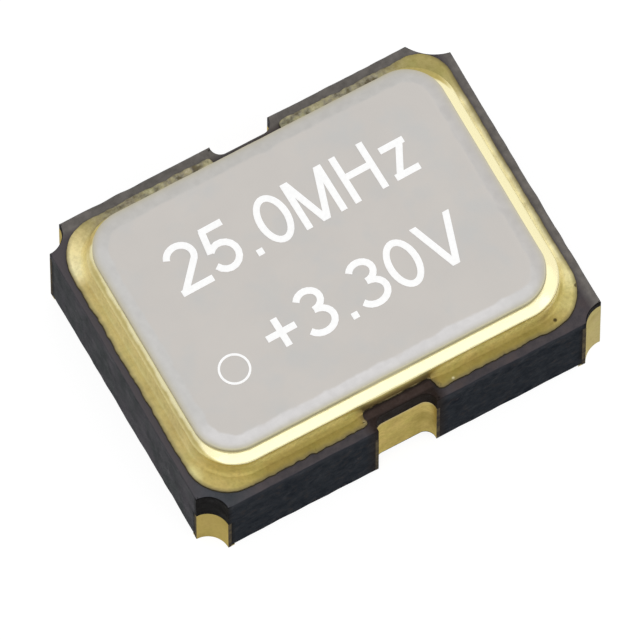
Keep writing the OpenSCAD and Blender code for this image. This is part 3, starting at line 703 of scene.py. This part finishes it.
def ring_tone(f):
    """The plating round the lid, and how even it is: clean and pale at the low end, olive along the
    front, greyed and patchy along the back, with painted light, highlights and shade in places"""
    x, y, z = f.at("X"), f.at("Y"), f.at("Z")
    off_middle = f.math("ABSOLUTE", x, 0)
    straight = f.range(off_middle, 1.4, 1.1)

    # Yellow on the band and on the roll of the ring; the ring's wall is painted paler, standing in for
    # light it would reflect
    tone = f.mix(f.range(z, BAND_TOP + 0.01, BAND_TOP + 0.06), YELLOW_GOLD, (0.74, 0.65, 0.27))
    tone = f.mix(f.range(z, ROLL_FOOT, ROLL_FOOT + 0.02), tone, YELLOW_GOLD)

    # The high end has a painted highlight beside the ring, turning olive towards the band's uneven edge
    high_end = f.math("MULTIPLY", f.range(x, 1.4, 1.44),
                      f.range(f.math("ABSOLUTE", y, 0), 0.95, 0.7))
    uneven_x = f.math("ADD", x, f.range(f.grain(5, detail=5), 0.3, 0.7, -0.03, 0.03))
    highlight_to_olive = f.mix(f.range(uneven_x, 1.46, 1.53), (0.93, 0.87, 0.56), (0.43, 0.37, 0.18))
    tone = f.mix(high_end, tone, highlight_to_olive)

    # The ground corner has pale and brown patches on the band, and a painted highlight low on the ring
    tone = f.patch(tone, (1.38, -1.02, BAND_TOP), 0.03, 0.17, (0.64, 0.56, 0.24))
    dirt = f.math("MULTIPLY", f.near((1.2, -1.12, BAND_TOP), 0.03, 0.16),
                  f.range(f.grain(11, detail=4), 0.42, 0.6))
    tone = f.mix(dirt, tone, (0.45, 0.35, 0.14))
    tone = f.patch(tone, (1.5, -0.86, BAND_TOP), 0.02, 0.13, (0.85, 0.77, 0.42))
    # Painted highlight on the ring's lower wall at the ground corner
    corner = f.math("MULTIPLY", f.near((1.38, -0.95, 0.9), 0.12, 0.12), f.range(z, 0.82, 0.87))
    tone = f.mix(corner, tone, (0.95, 0.9, 0.58))

    # Along the front the band is olive, with a light fleck at each end of the part left out. The
    # ring's wall is painted dark above both parts left out, as the dark ceramic it would reflect
    front = f.math("MULTIPLY", straight, f.range(y, -1.055, -1.088))
    low_front = f.math("MULTIPLY", front, f.range(z, BAND_TOP + 0.06, BAND_TOP + 0.02))
    tone = f.mix(low_front, tone, (0.375, 0.305, 0.097))
    flecks = f.math("MAXIMUM", f.near((-0.28, -1.124, BAND_TOP), 0.006, 0.022),
                    f.near((0.41, -1.139, BAND_TOP), 0.003, 0.012))
    tone = f.mix(flecks, tone, (0.95, 0.88, 0.6))
    # Painted dark reflection on the ring's wall above the parts left out
    dark_reflection = f.math("MULTIPLY", f.range(off_middle, 0.34, 0.26), f.range(z, 0.9, 0.84))
    tone = f.mix(dark_reflection, tone, (0.36, 0.27, 0.11))

    # Along the back it is painted darker, as a dim reflection, and the band's top is greyed in patches
    back = f.math("MULTIPLY", straight, f.range(y, 0.98, 1.03))
    tone = f.mix(back, tone, (0.48, 0.42, 0.19))
    grey = f.ramp(f.grain(13, detail=5, rough=0.6), (0.36, (0.13, 0.115, 0.085)),
                  (0.48, (0.31, 0.29, 0.225)), (0.56, (0.42, 0.39, 0.25)), (0.7, (0.62, 0.58, 0.42)))
    band_top = f.range(z, BAND_TOP + 0.015, BAND_TOP + 0.005)
    tone = f.mix(f.math("MULTIPLY", back, band_top), tone, grey)

    # The low end is pale, most of all on the ring's wall and the crown of its edge, where the paleness
    # is painted light and highlight
    low_end = f.range(x, -1.3, -1.42)
    pale = f.mix(f.range(z, ROLL_FOOT + 0.02, ROLL_FOOT + 0.05), (0.5, 0.42, 0.175), (0.72, 0.63, 0.32))
    pale = f.mix(f.range(z, BAND_TOP + 0.01, BAND_TOP + 0.003), pale, (0.63, 0.535, 0.24))
    wall = f.math("MULTIPLY", f.range(z, BAND_TOP + 0.003, BAND_TOP + 0.01),
                  f.range(z, ROLL_FOOT + 0.02, ROLL_FOOT))
    wall_tone = f.mix(f.range(z, 0.83, 0.87), (0.73, 0.65, 0.34), (0.81, 0.72, 0.385))
    tone = f.mix(low_end, tone, f.mix(wall, pale, wall_tone))

    # The corner of terminal 1 is plain gold with a pale spot beside it, and the output corner olive
    tone = f.patch(tone, (-1.36, -1.0, 0.79), 0.1, 0.22, (0.6, 0.5, 0.19))
    tone = f.patch(tone, (-1.545, -0.89, BAND_TOP), 0.015, 0.085, (0.82, 0.76, 0.38))
    tone = f.patch(tone, (1.38, 1.0, 0.79), 0.05, 0.3, (0.42, 0.36, 0.145))

    # The supply corner has a painted highlight outside, and is brown by the lid
    tone = f.patch(tone, (-1.45, 0.96, 0.79), 0.03, 0.25, (0.88, 0.78, 0.42))
    tone = f.patch(tone, (-1.5, 0.86, BAND_TOP), 0.02, 0.12, (0.95, 0.87, 0.54))
    tone = f.patch(tone, (-1.37, 0.97, 0.95), 0.03, 0.1, (0.52, 0.39, 0.15))

    even_high_end = f.math("MULTIPLY", high_end, f.range(x, 1.525, 1.5, 0.2, 0.75))
    return tone, f.math("MAXIMUM", f.math("MULTIPLY", low_end, 0.3), even_high_end)


def band_print():
    """Plating on the band, with small pits, and thin over its edge, where the print shows dark"""
    f = plated_gold("band_gold", roughness=0.5, mottle=0.7, stain=0.3, relief=0.0011, tone=ring_tone)
    pits = f.math("MULTIPLY", f.range(f.spots(5.5), 0.07, 0.1, 1, 0), f.range(f.at("X"), -1.3, -1.2))
    pits = f.math("MAXIMUM", pits, f.near(PIT, 0.009, 0.009))
    f.colour(f.mix(pits, f.now(), (0.075, 0.055, 0.02)))
    faded = f.math("MULTIPLY", f.attribute("thin"), f.range(f.at("Y"), 1.0, 1.1, 1, 0.3))
    f.colour(f.mix(faded, f.now(), (0.14, 0.115, 0.06)))
    return f


def clamp(value, high=1.0):
    return min(high, max(0.0, value))


def raggedness(p):
    """How far the edge of the print runs out at a point: most along the straight sides"""
    at = Vector((p.x, p.y, 0.7))
    straight = clamp((1.4 - abs(p.x)) / 0.3)
    if p.x < -1.5:
        straight = clamp((0.85 - abs(p.y)) / 0.2, 0.7)
    wave = 0.006 * noise.noise(at * 5) + (0.003 + 0.006 * straight) * noise.noise(at * 17)
    wave += (0.001 + 0.005 * straight) * noise.noise(at * 45)
    nick = max(0.0, noise.noise(at * 13 + Vector((3, 5, 7))) - 0.4) * 0.03
    return wave - nick * straight


x0, y0, x1, y1 = BAND
edge = rounded_path([
    (x0, y0, BAND_R), (-GAP, y0, END_R), (-GAP, -GAP_IN, GAP_R), (GAP, -GAP_IN, GAP_R),
    (GAP, y0, END_R), (x1, y0, BAND_R), (x1, y1, BAND_R_OUTPUT), (GAP, y1, END_R),
    (GAP, GAP_IN, GAP_R), (-GAP, GAP_IN, GAP_R), (-GAP, y1, END_R), (x0, y1, BAND_R)],
    step=0.012, arc_step=0.012)
ragged = [p + n * raggedness(p) for p, n in zip(edge, outward(edge))]
bm = bmesh.new()
thin = bm.verts.layers.float.new("thin")
rings = []
# The rounded edge of the print, from its foot in over its top: (height, inset, how thinly plated)
for z, inset, thinness in ((BASE_TOP, -0.001, 1), (BAND_TOP - 0.012, 0.0, 1),
                           (BAND_TOP - 0.0045, 0.0008, 1), (BAND_TOP - 0.0015, 0.0028, 1),
                           (BAND_TOP, 0.006, 0.7), (BAND_TOP, 0.032, 0)):
    rings.append(ring_of(bm, [p - n * inset for p, n in zip(ragged, outward(ragged))], z))
    for v in rings[-1]:
        v[thin] = thinness
inner = rounded_rect(*CAVITY)
hole = [ring_of(bm, inner, BAND_TOP), ring_of(bm, inner, BASE_TOP)]
loft(bm, rings)
loft(bm, hole)
smooth_all(bm)
fill_between(bm, rings[-1], hole[0])
fill_between(bm, rings[0], hole[1])
band = make_piece("seal_band_print", bm, band_print().material)
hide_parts("seal_band")
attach(band, "root")


# Seal ring
# A frame punched from iron-nickel-cobalt sheet, brazed on the band and then plated with it.
# Punching and the welding rollers leave its upper outer edge rolled over in a broad curve.

RING_H, RING_WALL = RING_TOP - BAND_TOP, 0.2
# The rolled edge, from the outer wall inwards: (in from the wall, down from the top)
ROLL = [(0.0, 0.07), (0.0005, 0.0645), (0.002, 0.059), (0.005, 0.0548), (0.015, 0.0482),
        (0.0225, 0.0434), (0.03, 0.0386), (0.0375, 0.034), (0.045, 0.0294), (0.0525, 0.025),
        (0.06, 0.0207), (0.068, 0.0163), (0.077, 0.012), (0.087, 0.0078), (0.098, 0.0036),
        (0.112, 0.0)]


def rolled_ring():
    """Plating on the ring, burnished by the welding rollers: paler where burnished, which partly paints
    its highlight, with painted shade beside the lid
    """
    f = plated_gold("ring_gold", roughness=0.45, mottle=0.4, stain=0.2, relief=0.0007, tone=ring_tone)
    streaks = f.range(f.grain(14, detail=3), 0.3, 0.7, -0.15, 0.15)
    burnish_and_highlight = f.range(f.math("ADD", f.attribute("burnish_and_highlight"), streaks), 0.25, 0.75)
    # The paler tint on the burnished strip is partly painted highlight
    f.colour(f.mix(burnish_and_highlight, f.now(), (0.75, 0.69, 0.425)))
    # Painted shade on the ring beside the lid's edge
    f.colour(f.mix(f.attribute("heat"), f.now(), (0.27, 0.235, 0.1)))
    f.roughness(f.range(burnish_and_highlight, 0, 1, 0.5, 0.24))
    return f


def sweep(bm, path, section, z0, wobble, closed_section=True):
    """Carries a section of (outwards, up) round a closed path, wavering a little on its way"""
    rings = []
    for p, n in zip(path, outward(path)):
        ring = []
        for d, z in section:
            q = p + n * d
            q = q + n * wobble * noise.noise(Vector((p.x * 9, p.y * 9, z * 20)))
            ring.append(bm.verts.new((q.x, q.y, z0 + z)))
        rings.append(ring)
    loft(bm, rings, around=closed_section, along=True)
    return rings


LID = (1.385, 1.0, 0.3)            # half length, half width and corner radius of the lid's edge
LID_AT = (-0.022, 0.01)
BURNISH = (0.15, 0.066)            # burnished no further in from the wall, or down from the top
LID_SHADE_REACH = 0.011                 # from the edge of the lid


def beyond_lid(p):
    """How far a point lies outside the edge of the lid"""
    qx = abs(p.x - LID_AT[0]) - LID[0] + LID[2]
    qy = abs(p.y - LID_AT[1]) - LID[1] + LID[2]
    return math.hypot(max(qx, 0), max(qy, 0)) + min(max(qx, qy), 0) - LID[2]


def polished(p):
    """1 where the rollers polished the whole edge, at the front and the high end, and 0 where
    they polished hardly more than a line; the paler tint there also paints part of the highlight"""
    if p.y < 0:
        return clamp((p.x + 1.46) / 0.25)
    return clamp((0.92 - p.y) / 0.3) if p.x > 0 else 0.0


def lid_edge_shade_share(p):
    """How dark the painted shade beside the lid's edge is on the ring"""
    if p.x > 1.3:
        return 0.8
    return 0.5 if p.y < 0 else 0.2


ring_path = rounded_rect(*RING, step=0.05)
bm = bmesh.new()
burnish_and_highlight = bm.verts.layers.float.new("burnish_and_highlight")
heat = bm.verts.layers.float.new("heat")
roll = [(-into, RING_H - down) for into, down in ROLL]
section = [(0, 0), (0, 0.06), (0, 0.1)] + roll + [(-RING_WALL, RING_H), (-RING_WALL, 0)]
rings = sweep(bm, ring_path, section, BAND_TOP, wobble=0.0012)
for p, r in zip(ring_path, rings):
    # Width of the burnished strip beyond the lid, and how softly it ends
    full = polished(p)
    soft = 0.036 - 0.02 * full
    ground_corner = clamp((p.x - p.y - 1.9) / 0.2)
    flakes = (1 - full) * 0.02 * noise.noise(Vector((p.x * 5, p.y * 5, 3)))
    width = 0.028 + 0.08 * full + 0.03 * ground_corner + flakes
    for v, (d, z) in zip(r, section):
        beyond = beyond_lid(v.co)
        if d > -BURNISH[0] and z > RING_H - BURNISH[1]:
            v[burnish_and_highlight] = clamp((width - beyond) / soft)
        # Painted shade on the ring near the lid's edge
        v[heat] = clamp(1 - beyond / LID_SHADE_REACH) * lid_edge_shade_share(p)
smooth_all(bm)
ring = make_piece("seal_ring_frame", bm, rolled_ring().material)
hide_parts("seal_ring")
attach(ring, "root")


# Braze
# Silver-copper braze drawn up the foot of the ring in a hollow curve, plated over with the rest.
# It stops where the band is left out, and thins towards its ends.

BRAZE_W, BRAZE_H = 0.042, 0.1
BRAZE_SUNK = (0.01, 0.004)         # how far the bead reaches into the ring and into the band
BRAZE_END, BRAZE_TAPER = 0.45, 0.12        # its share of full size at an end, and over what length

braze_gold = plated_gold("braze_gold", roughness=0.7, mottle=0.6, stain=0.2, relief=0.0014,
                         tone=ring_tone)
half_path = [p for p in ring_path if p.x >= GAP]
half_path = [Vector((GAP, -RING[1]))] + half_path + [Vector((GAP, RING[1]))]
bm = bmesh.new()
for way in (1, -1):
    path = [p * way for p in half_path]
    out = outward(path)
    out[0], out[-1] = out[1], out[-2]
    length = [0.0]
    for p, q in zip(path, path[1:]):
        length.append(length[-1] + (q - p).length)
    rings = []
    for p, n, run in zip(path, out, length):
        from_end = min(run, length[-1] - run)
        full = BRAZE_END + (1 - BRAZE_END) * min(1.0, from_end / BRAZE_TAPER)
        w = BRAZE_W * full * (1 + 0.16 * noise.noise(Vector((p.x * 8, p.y * 8, 2))))
        h = BRAZE_H * full * (1 + 0.2 * noise.noise(Vector((p.x * 6, p.y * 6, 5))))
        back = p - n * BRAZE_SUNK[0]
        foot = BAND_TOP - BRAZE_SUNK[1]
        ring = [bm.verts.new((*back, foot)), bm.verts.new((*(p + n * w), foot))]
        for a in [math.radians(270 - 90 * k / 8) for k in range(9)]:
            q = p + n * (w + w * math.cos(a))
            ring.append(bm.verts.new((q.x, q.y, BAND_TOP + h + h * math.sin(a))))
        ring.append(bm.verts.new((*back, BAND_TOP + h)))
        rings.append(ring)
    loft(bm, rings)
    for end in (rings[0], rings[-1]):
        bm.faces.new(end)
smooth_all(bm)
braze = make_piece("braze_fillet_bead", bm, braze_gold.material)
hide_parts("braze_fillet")
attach(braze, "root")


# Lid
# Thin nickel-plated sheet of the same alloy as the ring, welded to it all round by two rollers
# that press its rim down and leave it smoother and paler than the matt middle.

# Section of its edge, from the underside out and over to the middle: (outwards, up)
LID_SECTION = [(-0.012, -0.012), (-0.004, -0.004), (0.0, 0.008), (0.0, 0.053), (-0.002, 0.0605),
               (-0.007, 0.0662), (-0.016, 0.0692), (-0.04, 0.0715), (-0.06, 0.0732), (-0.08, 0.0752),
               (-0.095, 0.077), (-0.108, 0.0788), (-0.122, 0.08), (-0.15, 0.08)]
RIM_W, RIM_SOFT = 0.09, 0.04       # the pressed rim, and the width over which it fades out
WELD_AND_SHADE_SHARES = ((0.068, 1.0), (0.07, 0.55), (0.072, 0.12))          # (below this height, how yellow)


def matt_nickel():
    """Matt nickel: the rim made smoother and paler by the rollers, with painted light and shade that
    change from side to side, and yellowed along the seam, partly as painted shade and highlight
    """
    f = Finish("matt_nickel", roughness=0.42, metallic=0.9)
    x, y, z = f.at("X"), f.at("Y"), f.at("Z")
    middle = f.ramp(f.grain(2.2, detail=5), (0.35, (0.566, 0.54, 0.512)),
                    (0.65, (0.586, 0.557, 0.526)))
    cool = f.range(f.grain(3.4, detail=3), 0.5, 0.7, 0, 0.5)
    middle = f.mix(cool, middle, (0.525, 0.53, 0.525))

    # The rim is painted darker at the high end and the back, and palest along the front, as light and
    # shade on its slopes
    pressed_rim_and_light = f.mix(f.range(x, 1.15, 1.3), (0.585, 0.575, 0.56), (0.535, 0.515, 0.495))
    pressed_rim_and_light = f.mix(f.range(y, 0.8, 0.95), pressed_rim_and_light, (0.53, 0.515, 0.49))
    front = f.math("MULTIPLY", f.range(y, -0.62, -0.8), f.range(x, 1.3, 0.8))
    pressed_rim_and_light = f.mix(front, pressed_rim_and_light, (0.67, 0.655, 0.65))
    streaks = f.ramp(f.grain(16, detail=4), (0.35, 0.93), (0.65, 1.0))
    pressed_rim_and_light = f.mix(1.0, pressed_rim_and_light, streaks, how="MULTIPLY")
    wavy = f.math("ADD", f.attribute("rim"), f.range(f.grain(7, detail=4), 0.3, 0.7, -0.3, 0.3))
    rim = f.range(wavy, 0.35, 0.8)

    # The seam edge is browner at the front, partly as painted shade, and near its foot is painted with
    # the ring's gold highlight
    weld = f.mix(f.range(y, -0.7, -0.95), (0.5, 0.465, 0.36), (0.42, 0.39, 0.26))
    weld = f.mix(f.range(z, RING_TOP + 0.042, RING_TOP + 0.015), weld, (0.8, 0.76, 0.52))
    f.colour(f.mix(f.attribute("welded"), f.mix(rim, middle, pressed_rim_and_light), weld))
    f.roughness(f.range(rim, 0, 1, 0.42, 0.46))
    f.bump((f.grain(60, detail=3), 0.0005), (f.grain(8, detail=2), 0.0008))
    return f


bm = bmesh.new()
rim = bm.verts.layers.float.new("rim")
welded = bm.verts.layers.float.new("welded")
lid_path = rounded_rect(*LID, step=0.05, cx=LID_AT[0], cy=LID_AT[1])
rings = sweep(bm, lid_path, LID_SECTION, RING_TOP, closed_section=False, wobble=0.0015)
smooth_all(bm)
bm.faces.new([r[-1] for r in rings])
bm.faces.new([r[0] for r in rings])
for r in rings:
    for v, (d, z) in zip(r, LID_SECTION):
        v[rim] = clamp((RIM_W + RIM_SOFT + d) / RIM_SOFT)
        # The edge's lowest rings take the seam tint, partly painted shade
        v[welded] = next((share for below, share in WELD_AND_SHADE_SHARES if z < below), 0.0)
lid = make_piece("lid_sheet", bm, matt_nickel().material)
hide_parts("lid")
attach(lid, "root")


# Marking
# A thin white print on the lid: the plain frequency and voltage of such a part, and a ring that
# shows which corner terminal 1 is at.

ink = Finish("white_ink", roughness=0.6, specular=0.3)
speckle = ink.grain(45, detail=3)
ink.colour(ink.ramp(speckle, (0.35, (0.955, 0.955, 0.95)), (0.6, (0.99, 0.99, 0.985))))
ink.bump((speckle, 0.0004))
dress(ink.material, "lid_marking")


# Stage
# A pale floor and plain soft studio light. The floor and the world are white to the camera and
# in reflections, and give the object only a plain amount of light.

LIGHT_LEVEL, FLOOR_GLOW = 0.81, 0.87       # of white: the world's light, and the floor's own
FLOOR_HALF, FLOOR_DROP = 0.4, 0.00001      # metres
LAMP_AWAY = 0.06                           # metres


def for_rays(tree, *kinds):
    """1 for the named kinds of ray and 0 for the rest"""
    path = tree.nodes.new("ShaderNodeLightPath")
    value = path.outputs[kinds[0]]
    for kind in kinds[1:]:
        either = tree.nodes.new("ShaderNodeMath")
        either.operation = "MAXIMUM"
        tree.links.new(value, either.inputs[0])
        tree.links.new(path.outputs[kind], either.inputs[1])
        value = either.outputs[0]
    return value


white = bpy.data.worlds.new("studio")
bpy.context.scene.world = white
white.use_nodes = True
tree = white.node_tree
sky = tree.nodes["Background"]
sky.inputs["Color"].default_value = (1, 1, 1, 1)
level = tree.nodes.new("ShaderNodeMapRange")
level.inputs["To Min"].default_value = LIGHT_LEVEL
level.inputs["To Max"].default_value = 1.0
seen = for_rays(tree, "Is Camera Ray", "Is Glossy Ray", "Is Transmission Ray")
tree.links.new(seen, level.inputs["Value"])
tree.links.new(level.outputs["Result"], sky.inputs["Strength"])

pale = bpy.data.materials.new("pale_floor")
pale.use_nodes = True
tree = pale.node_tree
shader = tree.nodes["Principled BSDF"]
shader.inputs["Base Color"].default_value = (0.2, 0.2, 0.2, 1)
shader.inputs["Roughness"].default_value = 1.0
shader.inputs["Specular IOR Level"].default_value = 0.0
shader.inputs["Emission Color"].default_value = (1, 1, 1, 1)
glow = tree.nodes.new("ShaderNodeMath")
glow.operation = "MULTIPLY"
glow.inputs[1].default_value = FLOOR_GLOW
tree.links.new(for_rays(tree, "Is Camera Ray", "Is Glossy Ray"), glow.inputs[0])
tree.links.new(glow.outputs[0], shader.inputs["Emission Strength"])
bm = bmesh.new()
bmesh.ops.create_grid(bm, x_segments=2, y_segments=2, size=FLOOR_HALF)
mesh = bpy.data.meshes.new("floor")
bm.to_mesh(mesh)
bm.free()
mesh.materials.append(pale)
floor = bpy.data.objects.new("floor", mesh)
floor.location.z = -FLOOR_DROP
bpy.context.scene.collection.objects.link(floor)


def soft_lamp(name, azimuth, height, spread, rise, radiance):
    """An area lamp facing the object: its direction and span in degrees, and its brightness"""
    lamp = bpy.data.lights.new(name, "AREA")
    lamp.shape = "RECTANGLE"
    lamp.size = 2 * LAMP_AWAY * math.tan(math.radians(spread / 2))
    lamp.size_y = 2 * LAMP_AWAY * math.tan(math.radians(rise / 2))
    lamp.energy = radiance * math.pi * lamp.size * lamp.size_y
    holder = bpy.data.objects.new(name, lamp)
    a, h = math.radians(azimuth), math.radians(height)
    d = Vector((math.cos(a) * math.cos(h), math.sin(a) * math.cos(h), math.sin(h)))
    side = Vector((-math.sin(a), math.cos(a), 0))
    holder.matrix_world = Matrix.Translation(d * LAMP_AWAY) @ Matrix(
        (side, d.cross(side), d)).transposed().to_4x4()
    bpy.context.scene.collection.objects.link(holder)


soft_lamp("front_lamp", azimuth=-98, height=42, spread=96, rise=30, radiance=0.8)
soft_lamp("corner_lamp", azimuth=-24, height=36, spread=46, rise=30, radiance=0.52)
soft_lamp("right_lamp", azimuth=20, height=24, spread=36, rise=44, radiance=0.3)
soft_lamp("left_corner_lamp", azimuth=-164, height=47, spread=36, rise=26, radiance=0.4)

# The camera stands well back with a long lens. Its scale, its direction and the pixel at which the
# middle of the ceramic's top lies are the photograph's
PX_PER_MM, PICTURE = 142.8, 640
TOP_AT_PX = (322.8, 273.3)
AZIMUTH, ELEVATION = math.radians(-29.04), math.radians(68.22)
STAND_OFF, SENSOR = 0.15, 36               # metres, millimetres
across = Vector((math.cos(AZIMUTH), math.sin(AZIMUTH), 0))
ahead = Vector((-math.sin(AZIMUTH), math.cos(AZIMUTH), 0))
up = ahead * math.sin(ELEVATION) + Vector((0, 0, math.cos(ELEVATION)))
back = across.cross(up)
view = bpy.data.cameras.new("view")
view.sensor_width = SENSOR
view.lens = SENSOR * STAND_OFF / (PICTURE / PX_PER_MM * MM)
view.clip_start, view.clip_end = 0.001, 10
camera = bpy.data.objects.new("view", view)
aim = Vector((0, 0, BASE_TOP)) * MM
aim -= across * ((TOP_AT_PX[0] - PICTURE / 2) / PX_PER_MM * MM)
aim -= up * ((PICTURE / 2 - TOP_AT_PX[1]) / PX_PER_MM * MM)
camera.matrix_world = Matrix.Translation(aim + back * STAND_OFF) @ Matrix(
    (across, up, back)).transposed().to_4x4()
bpy.context.scene.collection.objects.link(camera)
bpy.context.scene.camera = camera
bpy.context.scene.view_settings.view_transform = "Standard"

bpy.context.view_layer.update()
